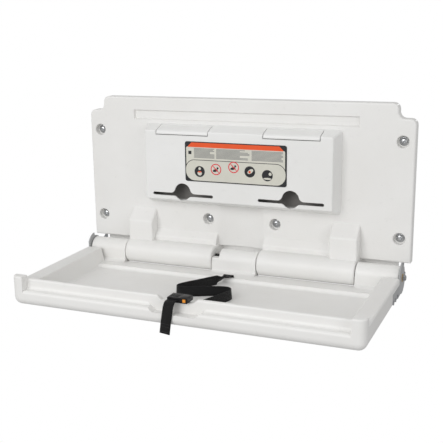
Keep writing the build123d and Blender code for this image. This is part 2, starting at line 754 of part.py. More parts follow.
def square_tube(x0, x1, y0, y1, z0, z1, along):
    """A square steel tube, open at its ends, along X or Y."""
    t = tube_wall
    outer = block(x0, x1, y0, y1, z0, z1)
    if along == "x":
        return outer - block(x0 - 1, x1 + 1, y0 + t, y1 - t, z0 + t, z1 - t)
    return outer - block(x0 + t, x1 - t, y0 - 1, y1 + 1, z0 + t, z1 - t)


def rim_tubes():
    """A stiffening tube in each side rim."""
    x1 = bed_half - bed_round + cell_in - fit_gap
    tube = square_tube(x1 - tube_side, x1, bed_front + horn_d + 6, hinge_y - bed_back - 10,
                       skin_z + 3, skin_z + 3 + tube_side, "y")
    holes = [rod_x(screw_r, x1 - 3, x1 + 1, y, z) for _, y, z in arm_screw_places()]
    for hole in holes:
        tube -= hole
    return Compound(children=both(tube))


def front_tube_box():
    """Half length, front edge and side of the front tube."""
    return basin_half - skin * 3, bed_front + bed_round - cell_in + 1, tube_side * 0.8


def front_tube():
    """A stiffening tube under the front shelf."""
    x, y0, side = front_tube_box()
    return square_tube(-x, x, y0, y0 + side, skin_z + 1.5, skin_z + 1.5 + side, "x")


def arm_screw_places():
    """Screws from the side arms into the rim tubes, as x, y and z."""
    z = skin_z + 3 + tube_side / 2
    return [(arm_x, hinge_y - d, z) for d in (arm_reach - 10, arm_reach - 35, bed_back + 20)]


def side_arm(side):
    """A steel arm on the bed's end: it turns on the rod and stops on a pin each way."""
    plate = rod_x(arm_disc_r, arm_x, arm_x + arm_t, hinge_y, hinge_z)
    low, high = -arm_low, -arm_low + arm_h
    plate += prism_x(from_hinge([(0, -arm_disc_r + 4), (-bed_back, low), (-arm_reach, low + 6),
                                 (-arm_reach, high), (-bed_back, high), (0, arm_disc_r - 14)]),
                     arm_x, arm_x + arm_t)
    plate -= block(arm_x - 1, arm_x + arm_t + 1, hinge_y - bed_back - 30, hinge_y - bed_back + 4,
                   hinge_z + high, hinge_z + 60)
    ease = math.degrees(math.asin((sleeve_r + stop_gap) / stop_pitch))
    floor_r = stop_pitch - sleeve_r - 1
    far = arm_disc_r * 2
    steps = 8
    fan = [(0, 0)]
    for i in range(steps + 1):
        a = math.radians(-ease + (fold_angle + 2 * ease) * i / steps)
        fan.append((far * math.cos(a), far * math.sin(a)))
    cut = prism_x(from_hinge(fan), arm_x - 1, arm_x + arm_t + 1)
    cut -= rod_x(floor_r, arm_x - 2, arm_x + arm_t + 2, hinge_y, hinge_z)
    plate -= cut
    plate -= rod_x(rod_r + running, arm_x - 1, arm_x + arm_t + 1, hinge_y, hinge_z)
    for x, y, z in arm_screw_places():
        plate -= rod_x(screw_r, x - 1, x + arm_t + 1, y, z)
    return plate if side > 0 else mirror(plate, about=Plane.YZ)


def arm_screws():
    """Pan-head screws that hold the side arms."""
    screws = []
    for x, y, z in arm_screw_places():
        out = x + arm_t
        screws += both(rod_x(screw_r, x - 14, out, y, z) + rod_x(head_r, out, out + head_t, y, z))
    return Compound(children=screws)


def hinge_bushes():
    """Plastic bushes in the bed's knuckles, which turn on the rod."""
    outer = knuckle_out + knuckle_gap
    middle = knuckle_in - knuckle_gap
    spans = [(outer, outer + bush_length), (bed_knuckle_end - bush_length, bed_knuckle_end)]
    rings = []
    for x0, x1 in spans:
        rings += both(rod_x(bush_r, x0, x1, hinge_y, hinge_z)
                      - rod_x(rod_r + running, x0 - 1, x1 + 1, hinge_y, hinge_z))
    x0 = middle - bush_length
    rings.append(rod_x(bush_r, x0, middle, hinge_y, hinge_z)
                 - rod_x(rod_r + running, x0 - 1, middle + 1, hinge_y, hinge_z))
    return Compound(children=rings)


# ---- strap and buckle ------------------------------------------------------------------------
def strap_anchor():
    """The steel bar under the ledge that the strap is sewn round."""
    y = hinge_y - anchor_back
    return block(-24, 24, y - 6, y + 6, skin_z + 0.5, skin_z + 4.5)


# The slack strap stands on its edge on the bed's floor. Points are x and the distance in front of
# the hinge axis: out of the slot, round a left and a right bend, and on to the buckle.
strap_plan = [(0, 57), (-6, 88), (-52, 160), (-80, 192), (-78, 214), (-50, 214), (14, 182), (46, 174),
              (62, 192), (50, 228), (28, 282), (4, 335)]
rise_x = 4.0                 # middle of the stretch that climbs from the floor to the buckle
rise_d = 335.0
rise_low = 20.0              # below the hinge axis
buckle_x0 = -21.0            # the buckle lies in the notch, on the front rim
buckle_x1 = 30.0
buckle_d0 = 353.5            # from the hinge axis to the buckle's rear and front
buckle_d1 = 383.0
buckle_t = 12.0
button_x = 21.0
button_w = 7.0
button_h = 7.0
button_deep = 4.0
button_out = 1.8
button_clear = 0.1
press = 1.5                  # the button's travel
tail_x = -8.0
tail_drop = 63.0             # the tail's end below the hinge axis
buckle_z = hinge_z + front_up - notch_deep + strap_clear


def bend_radii(points, most):
    """The largest radius that each corner of a route leaves room for, up to the most wanted."""
    radii = []
    for a, b, c in zip(points, points[1:], points[2:]):
        one = Vector(b[0] - a[0], b[1] - a[1])
        two = Vector(c[0] - b[0], c[1] - b[1])
        turn = math.radians(one.get_angle(two))
        radii.append(min(most, 0.45 * min(one.length, two.length) / math.tan(turn / 2)))
    return radii


def ribbon(points, most=400.0):
    """A band's section along a route in the XY plane, as a face strap_t thick."""
    radii = bend_radii(points, most)
    route = FilletPolyline(*points, radius=radii)
    return trace(route, strap_t)


def strap_loops():
    """The slack part of the strap, between its slot and the buckle."""
    face = ribbon([(x, hinge_y - d) for x, d in strap_plan])
    band = Pos(0, 0, floor_z + strap_clear) * extrude(face, amount=strap_w, dir=(0, 0, 1))
    edge = hinge_y - bed_back - ledge_w - 10
    band -= block(-strap_w, strap_w, edge, hinge_y, floor_z - 1, ledge_z + strap_clear)
    return band - block(-width, width, hinge_y - rise_d, hinge_y - width, -width, 0) - strap_root()


def strap_root():
    """The strap's fixed end, up through its slot in the ledge."""
    y = hinge_y - anchor_back
    return block(-strap_w / 2, strap_w / 2, y - 1 + strap_t, y - 1, skin_z + 4.5,
                 floor_z + strap_clear + strap_w)


def flat_band(x, route):
    """A band that lies flat, along a route of y and z from the hinge axis."""
    band = extrude(ribbon(from_hinge(route)), amount=strap_w, dir=(0, 0, 1))
    return Pos(x - strap_w / 2, 0, 0) * (Plane.YZ.location * band)


def strap_rise():
    """The stretch that turns flat and climbs from the bed's floor to the buckle."""
    middle = buckle_z + buckle_t / 2 - hinge_z
    route = [(-rise_d, -rise_low), (-rise_d - 7, -rise_low + 6), (-buckle_d0 + 3, middle - 3),
             (-buckle_d0, middle)]
    keep = block(-width, width, hinge_y - rise_d, hinge_y - buckle_d0, -width, 0)
    return flat_band(rise_x, route) & keep


def strap_tail():
    """The free end of the strap, out of the buckle and down over the front of the bed."""
    clear = 1.2 + strap_t / 2
    middle = buckle_z + buckle_t / 2 - hinge_z
    route = [(-buckle_d1, middle), (-buckle_d1 - 8, middle), (-bed_reach - clear + 3, middle - 5),
             (-bed_reach - clear - 1.2, middle - 16), (-bed_reach - clear, middle - 40),
             (-bed_reach - clear - 0.4, -tail_drop)]
    return flat_band(tail_x, route)


def buckle_body():
    """The buckle's black case, with a well for its release button."""
    y0, y1 = hinge_y - buckle_d1, hinge_y - buckle_d0
    case = block(buckle_x0, buckle_x1, y0, y1, buckle_z, buckle_z + buckle_t)
    case = fillet(case.edges().filter_by(Axis.Y), 3)
    return case - button_block(button_clear, y0 + button_deep + button_clear + press)


def button_block(grow, rear):
    """The release button's block, back to one y."""
    half_w, half_h = button_w / 2 + grow, button_h / 2 + grow
    middle = buckle_z + buckle_t / 2
    return block(button_x - half_w, button_x + half_w, hinge_y - buckle_d1 - button_out, rear,
                 middle - half_h, middle + half_h)


def buckle_button():
    """The orange release button in the end of the case, which is pressed in."""
    return button_block(0, hinge_y - buckle_d1 + button_deep)


NODES = {
    "wall_panel": wall_panel,
    "fixing_washers": fixing_washers,
    "hinge_bracket_left": lambda: hinge_bracket(-1),
    "hinge_bracket_right": lambda: hinge_bracket(1),
    "hinge_rod": hinge_rod,
    "rod_washers": rod_washers,
    "rod_nuts": rod_nuts,
    "stop_pins": stop_pins,
    "stop_sleeves": stop_sleeves,
    "damper_core": damper_core,
    "damper_body": damper_body,
    "liner_box": liner_box,
    "liner_lid_left": lambda: liner_lid(-1),
    "liner_lid_right": lambda: liner_lid(1),
    "lid_pins": lid_pins,
    "box_screws": box_screws,
    "label_plate": label_plate,
    "changing_bed": changing_bed,
    "bed_underside": bed_underside,
    "cover_screws": cover_screws,
    "rim_tubes": rim_tubes,
    "front_tube": front_tube,
    "side_arm_left": lambda: side_arm(-1),
    "side_arm_right": lambda: side_arm(1),
    "arm_screws": arm_screws,
    "hinge_bushes": hinge_bushes,
    "strap_anchor": strap_anchor,
    "strap_root": strap_root,
    "strap_loops": strap_loops,
    "strap_rise": strap_rise,
    "strap_tail": strap_tail,
    "buckle_body": buckle_body,
    "buckle_button": buckle_button,
}

os.makedirs("parts", exist_ok=True)
for name, make in NODES.items():
    export_step(make(), "parts/" + name + ".step")
    print("wrote", name)
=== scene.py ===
import bpy
import bmesh
import math
import random
from mathutils import Matrix, Vector


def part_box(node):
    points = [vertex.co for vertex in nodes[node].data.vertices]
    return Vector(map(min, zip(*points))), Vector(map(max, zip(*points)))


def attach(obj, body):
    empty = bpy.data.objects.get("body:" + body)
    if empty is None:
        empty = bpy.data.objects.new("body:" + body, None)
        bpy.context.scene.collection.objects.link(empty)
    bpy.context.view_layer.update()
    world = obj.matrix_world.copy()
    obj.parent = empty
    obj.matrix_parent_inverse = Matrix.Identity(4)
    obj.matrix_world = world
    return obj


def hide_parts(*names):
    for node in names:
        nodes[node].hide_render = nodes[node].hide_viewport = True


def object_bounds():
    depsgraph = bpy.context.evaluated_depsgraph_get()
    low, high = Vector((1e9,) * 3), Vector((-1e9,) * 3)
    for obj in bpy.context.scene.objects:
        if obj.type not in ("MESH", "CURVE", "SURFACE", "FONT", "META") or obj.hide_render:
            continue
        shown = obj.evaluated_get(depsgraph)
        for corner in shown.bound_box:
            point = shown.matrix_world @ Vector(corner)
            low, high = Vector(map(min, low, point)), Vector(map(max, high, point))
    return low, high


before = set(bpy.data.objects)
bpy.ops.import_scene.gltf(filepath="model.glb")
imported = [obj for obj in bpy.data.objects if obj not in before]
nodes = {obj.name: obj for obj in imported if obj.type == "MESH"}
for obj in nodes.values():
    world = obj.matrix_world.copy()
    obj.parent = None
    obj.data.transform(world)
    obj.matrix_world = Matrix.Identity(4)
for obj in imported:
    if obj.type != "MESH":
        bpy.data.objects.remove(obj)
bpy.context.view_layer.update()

# ---- camera ----------------------------------------------------------------------------------
# A standing viewer's eye, in front of the table and to its right, looking slightly down into the bed.
camera = bpy.data.objects.new("camera", bpy.data.cameras.new("camera"))
bpy.context.scene.collection.objects.link(camera)
bpy.context.scene.camera = camera
camera_right = Vector((0.91692, 0.39872, -0.01693))
camera_up = Vector((-0.08331, 0.23274, 0.96897))
camera_back = camera_right.cross(camera_up)
camera.matrix_world = Matrix.Translation((0.7699, -2.0457, 0.4199)) @ Matrix(
    (camera_right, camera_up, camera_back)).transposed().to_4x4()
camera.data.sensor_width = 36.0
camera.data.lens = 68.155
camera.data.shift_x = 0.0477
camera.data.shift_y = 0.0181
camera.data.dof.use_dof = False
camera.data.clip_start = 0.05
camera.data.clip_end = 50.0

# ---- studio ----------------------------------------------------------------------------------
# A pale floor well below the table, soft lamps in front of it and an even white surround. What
# the camera sees of the floor and the surround is plain white, as in a catalogue picture.


def plain_white(tree, lit, glow_kind, glow_socket, output):
    """Shows the camera plain white, and everything else the lit shader."""
    glow = tree.nodes.new(glow_kind)
    glow.inputs["Color"].default_value = (1, 1, 1, 1)
    glow.inputs["Strength"].default_value = 1.0
    seen = tree.nodes.new("ShaderNodeLightPath")
    choice = tree.nodes.new("ShaderNodeMixShader")
    tree.links.new(seen.outputs["Is Camera Ray"], choice.inputs[0])
    tree.links.new(lit, choice.inputs[1])
    tree.links.new(glow.outputs[glow_socket], choice.inputs[2])
    tree.links.new(choice.outputs["Shader"], output.inputs["Surface"])


low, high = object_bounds()
floor_below = 1.3
bm = bmesh.new()
bmesh.ops.create_circle(bm, cap_ends=True, segments=64, radius=7.0)
bmesh.ops.translate(bm, vec=(0, 0, low.z - floor_below), verts=bm.verts[:])
mesh = bpy.data.meshes.new("floor")
bm.to_mesh(mesh)
bm.free()
floor = bpy.data.objects.new("floor", mesh)
bpy.context.scene.collection.objects.link(floor)
floor_white = bpy.data.materials.new("floor_white")
floor_white.use_nodes = True
paper = floor_white.node_tree.nodes["Principled BSDF"]
paper.inputs["Base Color"].default_value = (0.6, 0.6, 0.6, 1)
paper.inputs["Roughness"].default_value = 0.9
plain_white(floor_white.node_tree, paper.outputs["BSDF"], "ShaderNodeEmission", "Emission",
            floor_white.node_tree.nodes["Material Output"])
mesh.materials.append(floor_white)


def lamp(name, place, aim, size, power):
    """A square soft lamp that points at the table."""
    data = bpy.data.lights.new(name, "AREA")
    data.size = size
    data.energy = power
    obj = bpy.data.objects.new(name, data)
    bpy.context.scene.collection.objects.link(obj)
    obj.location = place
    obj.rotation_mode = "QUATERNION"
    obj.rotation_quaternion = (Vector(place) - Vector(aim)).to_track_quat("Z", "Y")


lamp("front_lamp", (-0.9, -3.0, 1.3), (0, -0.1, -0.1), 1.8, 43)
lamp("side_lamp", (2.4, -1.9, 0.6), (0.1, -0.2, -0.1), 1.4, 11)
world = bpy.data.worlds.new("world")
bpy.context.scene.world = world
world.use_nodes = True
surround = world.node_tree.nodes["Background"]
surround.inputs["Color"].default_value = (1, 1, 1, 1)
surround.inputs["Strength"].default_value = 0.56
plain_white(world.node_tree, surround.outputs["Background"], "ShaderNodeBackground", "Background",
            world.node_tree.nodes["World Output"])
bpy.context.scene.view_settings.view_transform = "Standard"

# ---- wall panel ------------------------------------------------------------------------------
# The back of the station: one rotationally moulded polyethylene shell with a matt, slightly
# pebbled skin. It takes the pillars, the knuckles and the fixing recesses, and bolts to the wall.


def shader(name, base, roughness, metallic=0.0):
    """A new material with its tree, its shader and its Object coordinates."""
    material = bpy.data.materials.new(name)
    material.use_nodes = True
    tree = material.node_tree
    bsdf = tree.nodes["Principled BSDF"]
    bsdf.inputs["Base Color"].default_value = (*base, 1)
    bsdf.inputs["Roughness"].default_value = roughness
    bsdf.inputs["Metallic"].default_value = metallic
    return material, tree, bsdf, tree.nodes.new("ShaderNodeTexCoord").outputs["Object"]


def noise(tree, vector, scale, detail=3.0, roughness=0.5):
    """The grey output of a noise texture, with its scale per metre."""
    node = tree.nodes.new("ShaderNodeTexNoise")
    node.inputs["Scale"].default_value = scale
    node.inputs["Detail"].default_value = detail
    node.inputs["Roughness"].default_value = roughness
    tree.links.new(vector, node.inputs["Vector"])
    return node.outputs["Fac"]


def between(tree, factor, low_in, high_in, low_out, high_out):
    """Stretches one range of a grey value to another."""
    node = tree.nodes.new("ShaderNodeMapRange")
    for name, value in (("From Min", low_in), ("From Max", high_in), ("To Min", low_out), ("To Max", high_out)):
        node.inputs[name].default_value = value
    tree.links.new(factor, node.inputs["Value"])
    return node.outputs["Result"]


def sum_of(tree, kind, first, second):
    """One step of arithmetic on grey values. Each is a number or another node's output."""
    node = tree.nodes.new("ShaderNodeMath")
    node.operation = kind
    for socket, value in zip(node.inputs, (first, second)):
        if isinstance(value, float):
            socket.default_value = value
        else:
            tree.links.new(value, socket)
    return node.outputs["Value"]


def tint(tree, factor, first, second):
    """A colour between two, by a grey value. Each is a colour or another node's output."""
    node = tree.nodes.new("ShaderNodeMix")
    node.data_type = "RGBA"
    tree.links.new(factor, node.inputs[0])
    for socket, value in ((node.inputs[6], first), (node.inputs[7], second)):
        if isinstance(value, tuple):
            socket.default_value = (*value, 1)
        else:
            tree.links.new(value, socket)
    return node.outputs[2]


def relief(tree, bsdf, *layers):
    """Bumps on a surface: each layer is a height, its depth in metres and a strength."""
    last = None
    for height, depth, strength in layers:
        node = tree.nodes.new("ShaderNodeBump")
        node.inputs["Distance"].default_value = depth
        node.inputs["Strength"].default_value = strength
        tree.links.new(height, node.inputs["Height"])
        if last:
            tree.links.new(last, node.inputs["Normal"])
        last = node.outputs["Normal"]
    tree.links.new(last, bsdf.inputs["Normal"])


def moulded(name, base_tone, aged, roughness, grain, depth):
    """Moulded plastic: a pebbled skin, slow changes of tone, rubbed patches and a few scuffs."""
    material, tree, bsdf, place = shader(name, base_tone, roughness)
    slow = between(tree, noise(tree, place, 5.5, 3.0), 0.35, 0.65, 0.0, 1.0)
    scuffs = between(tree, noise(tree, place, 46.0, 8.0, 0.72), 0.60, 0.74, 0.0, 0.5)
    specks = between(tree, noise(tree, place, 620.0, 2.0), 0.70, 0.78, 0.0, 0.35)
    tone = tint(tree, slow, base_tone, aged)
    tone = tint(tree, scuffs, tone, tuple(c * 0.88 for c in aged))
    tone = tint(tree, specks, tone, tuple(c * 0.72 for c in aged))
    tree.links.new(tone, bsdf.inputs["Base Color"])
    rub = between(tree, noise(tree, place, 17.0, 5.0, 0.6), 0.3, 0.7, roughness - 0.09, roughness + 0.09)
    tree.links.new(rub, bsdf.inputs["Roughness"])
    relief(tree, bsdf, (noise(tree, place, 24.0, 1.0), 0.0012, 0.22),
           (noise(tree, place, grain, 2.0, 0.6), depth, 0.45))
    return material


def carry(node, material, crease=34.0):
    """Gives a CAD node its finish, with smooth rounds and flat flats."""
    obj = nodes[node]
    obj.data.materials.clear()
    obj.data.materials.append(material)
    for face in obj.data.polygons:
        face.use_smooth = True
    obj.modifiers.new("weld", "WELD").merge_threshold = 0.000002
    split = obj.modifiers.new("creases", "EDGE_SPLIT")
    split.split_angle = math.radians(crease)
    even = obj.modifiers.new("flats", "WEIGHTED_NORMAL")
    even.mode = "FACE_AREA"
    even.weight = 100
    even.keep_sharp = True


moulded_white = moulded("moulded_white", (0.85, 0.845, 0.83), (0.82, 0.812, 0.792), 0.46, 780.0, 0.00022)
carry("wall_panel", moulded_white)

# The face that the dispenser hides is painted with shade: inside the bins its colour turns a dull grey that
# stands in for the shade that falls there.
panel_white_painted_shade = moulded_white.copy()
panel_white_painted_shade.name = "panel_white_painted_shade"
tree = panel_white_painted_shade.node_tree
bsdf = tree.nodes["Principled BSDF"]
base_tone = bsdf.inputs["Base Color"].links[0].from_socket
split = tree.nodes.new("ShaderNodeSeparateXYZ")
tree.links.new(tree.nodes["Texture Coordinate"].outputs["Object"], split.inputs["Vector"])
bin_low, bin_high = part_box("liner_box")
panel_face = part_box("label_plate")[1].y + 0.042
painted_bin_shade = between(tree, split.outputs["Y"], panel_face + 0.0005, panel_face + 0.0015, 1.0, 0.0)
for axis in ("X", "Z"):
    near, far = getattr(bin_low, axis.lower()), getattr(bin_high, axis.lower())
    away = sum_of(tree, "ABSOLUTE", sum_of(tree, "SUBTRACT", split.outputs[axis], (near + far) / 2), 0.0)
    inside = between(tree, away, (far - near) / 2 - 0.014, (far - near) / 2 - 0.006, 1.0, 0.0)
    painted_bin_shade = sum_of(tree, "MULTIPLY", painted_bin_shade, inside)
# Painted shade: within the bin mask the panel's tone is mixed down to a dull grey (0.22, 0.21, 0.20).
tree.links.new(tint(tree, painted_bin_shade, base_tone, (0.22, 0.21, 0.20)), bsdf.inputs["Base Color"])
nodes["wall_panel"].data.materials[0] = panel_white_painted_shade

# ---- wall fixings ----------------------------------------------------------------------------
# Domed security screws of bright steel on dished washers, one in each recess of the panel. The
# installer drives them into wall anchors with a pin socket key.


def spun(bm, profile, place, axis, steps=32):
    """A turned part: its profile of radius and height, spun round an axis through its place."""
    part = bmesh.new()
    rim = [part.verts.new((r, 0, h)) for r, h in profile]
    for a, b in zip(rim, rim[1:]):
        part.edges.new((a, b))
    bmesh.ops.spin(part, geom=part.verts[:] + part.edges[:], cent=(0, 0, 0), axis=(0, 0, 1),
                   angle=math.tau, steps=steps, use_merge=True)
    bmesh.ops.remove_doubles(part, verts=part.verts[:], dist=0.000001)
    bmesh.ops.recalc_face_normals(part, faces=part.faces[:])
    turn = Vector(axis).to_track_quat("Z", "Y").to_matrix().to_4x4()
    bmesh.ops.transform(part, matrix=Matrix.Translation(place) @ turn, verts=part.verts[:])
    join(bm, part)


def join(bm, part, slot_index=0):
    """Adds a part's faces to a piece, in one of the piece's finishes."""
    for face in part.faces:
        face.material_index = slot_index
    store = bpy.data.meshes.new("store")
    part.to_mesh(store)
    part.free()
    bm.from_mesh(store)
    bpy.data.meshes.remove(store)


def piece(name, bm, body, slot_name, *materials, crease=34.0):
    """Makes a finished piece of a bmesh, smooth but for its creases, and lets it ride on a body."""
    mesh = bpy.data.meshes.new(name)
    for face in bm.faces:
        face.smooth = True
    for edge in bm.edges:
        edge.smooth = len(edge.link_faces) == 2 and edge.calc_face_angle(0) < math.radians(crease)
    bm.to_mesh(mesh)
    bm.free()
    for material in materials:
        mesh.materials.append(material)
    obj = bpy.data.objects.new(name, mesh)
    bpy.context.scene.collection.objects.link(obj)
    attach(obj, body)
    return obj


def metal(name, bright, dull, roughness, grain):
    """Plated steel or brass: a fine grain, cloudy plating and small dull marks."""
    material, tree, bsdf, place = shader(name, bright, roughness, 1.0)
    cloud = between(tree, noise(tree, place, 70.0, 6.0, 0.65), 0.35, 0.68, 0.0, 1.0)
    marks = between(tree, noise(tree, place, 420.0, 4.0, 0.7), 0.60, 0.72, 0.0, 0.6)
    tone = tint(tree, cloud, bright, dull)
    tree.links.new(tint(tree, marks, tone, tuple(c * 0.6 for c in dull)), bsdf.inputs["Base Color"])
    tree.links.new(between(tree, cloud, 0.0, 1.0, roughness - 0.07, roughness + 0.1), bsdf.inputs["Roughness"])
    relief(tree, bsdf, (noise(tree, place, grain, 3.0), 0.00008, 0.3))
    return material


zinc_steel = metal("zinc_steel", (0.60, 0.61, 0.62), (0.42, 0.43, 0.45), 0.30, 1500.0)
bm = bmesh.new()
screw_profile = [(0.0002, 0.0042), (0.0009, 0.0042), (0.0009, 0.0024), (0.0026, 0.0024), (0.0026, 0.0062),
                 (0.0046, 0.0058), (0.0066, 0.0049), (0.0081, 0.0036), (0.0087, 0.0026), (0.0088, 0.0017),
                 (0.0100, 0.0016), (0.0110, 0.0011), (0.0114, 0.0006), (0.0114, 0.0), (0.0002, 0.0)]
for x, z in [(-0.415, 0.12), (0.415, 0.12), (-0.415, -0.12), (0.415, -0.12), (-0.094, -0.11), (0.094, -0.11)]:
    spun(bm, screw_profile, (x, -0.012, z), (0, -1, 0), 40)
wall_screws = piece("wall_screws", bm, "station", "zinc_steel", zinc_steel)
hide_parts("fixing_washers")

# ---- hinge -----------------------------------------------------------------------------------
# A zinc-plated rod runs through steel brackets inside the panel's knuckles and through bushes in
# the bed's. Washers and nuts hold its ends, and pins in rubber sleeves stop the side arms.
brass = metal("brass", (0.76, 0.56, 0.26), (0.58, 0.40, 0.17), 0.28, 1300.0)
black_rubber = moulded("black_rubber", (0.022, 0.022, 0.023), (0.034, 0.033, 0.032), 0.68, 1600.0, 0.00015)
black_plastic = moulded("black_plastic", (0.005, 0.005, 0.006), (0.009, 0.009, 0.010), 0.33, 1700.0, 0.00012)
black_plastic.node_tree.nodes["Principled BSDF"].inputs["Specular IOR Level"].default_value = 0.3
for name in ("hinge_bracket_left", "hinge_bracket_right", "hinge_rod", "rod_nuts", "stop_pins"):
    carry(name, zinc_steel)
carry("rod_washers", brass)
carry("stop_sleeves", black_rubber)

# ---- damper ----------------------------------------------------------------------------------
# A rotary damper between the knuckles slows the bed's fall: a black nylon body over a steel core.
carry("damper_core", zinc_steel)
carry("damper_body", black_plastic)
carry("hinge_bushes", black_plastic)

# ---- liner dispenser -------------------------------------------------------------------------
# A thinner moulding that is screwed to the panel, with two bins for paper liners. Its lids turn
# on steel pins. The plastic is a little smoother and cooler than the panel's.
dispenser_white = moulded("dispenser_white", (0.85, 0.85, 0.84), (0.825, 0.823, 0.808), 0.38, 1150.0, 0.00012)
for name in ("liner_box", "liner_lid_left", "liner_lid_right"):
    carry(name, dispenser_white)
carry("lid_pins", zinc_steel)
carry("box_screws", zinc_steel)

# ---- label -----------------------------------------------------------------------------------
# A printed vinyl label on the dispenser: a dark ground, an orange header, a pale block with rows
# of plain grey bars, and a pale rounded panel with five plain round symbols.


def printed(name, colour):
    """Printed vinyl: a faint dot screen, a soft satin face and a little fading."""
    material, tree, bsdf, place = shader(name, colour, 0.42)
    fade = between(tree, noise(tree, place, 34.0, 4.0), 0.3, 0.7, 0.0, 1.0)
    dots = tree.nodes.new("ShaderNodeTexVoronoi")
    dots.inputs["Scale"].default_value = 1600.0
    tree.links.new(place, dots.inputs["Vector"])
    screen = between(tree, dots.outputs["Distance"], 0.2, 0.6, 0.0, 0.3)
    tone = tint(tree, fade, colour, tuple(min(1.0, c * 1.07 + 0.006) for c in colour))
    tree.links.new(tint(tree, screen, tone, tuple(c * 0.9 for c in colour)), bsdf.inputs["Base Color"])
    relief(tree, bsdf, (noise(tree, place, 260.0, 2.0), 0.00008, 0.25))
    return material


def patch(bm, x0, x1, z0, z1, level, slot_index, corner=0.0, segments=6, upper_only=False):
    """One printed field of the label: a thin plate, its corners cut or rounded."""
    part = bmesh.new()
    grid = bmesh.ops.create_grid(part, x_segments=1, y_segments=1, size=0.5)["verts"]
    for v in grid:
        v.co = (x0 if v.co.x < 0 else x1, label_face - level, z0 if v.co.y < 0 else z1)
    if corner:
        picked = [v for v in grid if v.co.z > z0 or not upper_only]
        bmesh.ops.bevel(part, geom=picked, offset=corner, affect="VERTICES", segments=segments,
                        profile=0.5, material=-1)
    thicken(part)
    join(bm, part, slot_index)


def thicken(part):
    """Gives a flat field its film's thickness, towards the plate."""
    top = bmesh.ops.extrude_face_region(part, geom=part.faces[:], use_keep_orig=True)["geom"]
    for v in [g for g in top if isinstance(g, bmesh.types.BMVert)]:
        v.co.y += film
    bmesh.ops.recalc_face_normals(part, faces=part.faces[:])


def spot(bm, x, z, radius, level, slot_index, wide=1.0, tall=1.0, turn=0.0, sides=40):
    """A round, oval or many-sided printed field."""
    part = bmesh.new()
    bmesh.ops.create_circle(part, cap_ends=True, segments=sides, radius=radius)
    shape = Matrix.Rotation(math.radians(90), 4, "X") @ Matrix.Rotation(turn, 4, "Z") @ Matrix.Diagonal(
        (wide, tall, 1, 1))
    bmesh.ops.transform(part, matrix=Matrix.Translation((x, label_face - level, z)) @ shape, verts=part.verts[:])
    thicken(part)
    join(bm, part, slot_index)


label_low, label_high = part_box("label_plate")
label_face = label_low.y
film = 0.00005
dark, orange, cream, grey, red, outline = range(6)
bm = bmesh.new()
part = bmesh.new()
for v in bmesh.ops.create_cube(part, size=1.0)["verts"]:
    v.co = [label_low[i] if v.co[i] < 0 else label_high[i] for i in range(3)]
corners = [e for e in part.edges if abs(e.verts[0].co.y - e.verts[1].co.y) > 0.0004]
bmesh.ops.bevel(part, geom=corners, offset=0.006, affect="EDGES", segments=6, profile=0.5, material=-1)
join(bm, part, dark)
patch(bm, -0.1355, 0.1345, 0.038, 0.0915, 0.00005, cream, 0.004)
patch(bm, -0.131, 0.130, 0.0905, 0.1025, 0.0001, orange, 0.0105, 1, True)
patch(bm, -0.1385, 0.1375, 0.0012, 0.058, 0.0001, outline, 0.026, 12)
patch(bm, -0.137, 0.136, 0.0028, 0.0564, 0.00015, cream, 0.0245, 12)
rows = random.Random(4)
for left, right in [(-0.1135, -0.056), (-0.051, 0.040), (0.046, 0.129)]:
    for row in range(9):
        z = 0.0882 - row * 0.0029
        ragged = rows.choice((0.0, 0.0, 0.004, 0.012, 0.026))
        patch(bm, left, right - ragged, z - 0.0019, z, 0.0001, grey)
spot(bm, -0.125, 0.076, 0.0062, 0.0001, dark, turn=math.radians(45), sides=4)
places = [(-0.098, 0.027), (-0.052, 0.035), (-0.003, 0.043), (0.041, 0.034), (0.088, 0.027)]
for count, (x, z) in enumerate(places):
    crossed = count in (1, 2)
    spot(bm, x, z, 0.0148 if crossed else 0.0145, 0.0002, red if crossed else dark)
    if crossed:
        spot(bm, x, z, 0.0122, 0.00025, cream)
        spot(bm, x - 0.002, z - 0.003, 0.0058, 0.0003, dark, 1.25, 0.6, math.radians(15))
        spot(bm, x + 0.0045, z + 0.0032, 0.0028, 0.0003, dark)
        spot(bm, x, z, 0.0128, 0.00035, red, 1.0, 0.11, math.radians(-45))
spot(bm, -0.098, 0.0348, 0.0036, 0.00025, cream)
spot(bm, -0.098, 0.0225, 0.0078, 0.00025, cream, 0.8, 0.75)
spot(bm, -0.098, 0.0262, 0.0052, 0.0003, orange, 1.0, 0.34)
spot(bm, 0.0425, 0.035, 0.0088, 0.00025, cream, 1.0, 0.55, math.radians(35))
spot(bm, 0.0405, 0.0335, 0.0032, 0.0003, orange)
spot(bm, 0.0955, 0.031, 0.0040, 0.00025, cream)
spot(bm, 0.088, 0.0188, 0.0105, 0.00025, cream, 1.0, 0.24)
printed_label = piece(
    "printed_label", bm, "station", "printed_label", printed("label_ground", (0.009, 0.010, 0.013)),
    printed("label_header", (0.82, 0.085, 0.008)), printed("label_paper", (0.66, 0.65, 0.575)),
    printed("label_bars", (0.26, 0.26, 0.25)), printed("label_red", (0.72, 0.03, 0.045)),
    printed("label_outline", (0.03, 0.032, 0.03)))
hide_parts("label_plate")

# ---- bed -------------------------------------------------------------------------------------
# The fold-down bed: a twin-wall polyethylene moulding with a shallow basin. A skin closes it from
# below, and steel tubes stiffen its rims.
for name in ("changing_bed", "bed_underside"):
    carry(name, moulded_white)
for name in ("rim_tubes", "front_tube", "cover_screws", "arm_screws", "strap_anchor"):
    carry(name, zinc_steel)

# ---- side arms -------------------------------------------------------------------------------
# A flat steel arm on each end of the bed, screwed to its rim tube, with a slot that runs against
# the stop pin when the bed is down and when it is folded.
arm_grey = moulded("arm_grey", (0.46, 0.465, 0.47), (0.36, 0.365, 0.37), 0.5, 1500.0, 0.0002)
for name in ("side_arm_left", "side_arm_right"):
    carry(name, arm_grey)

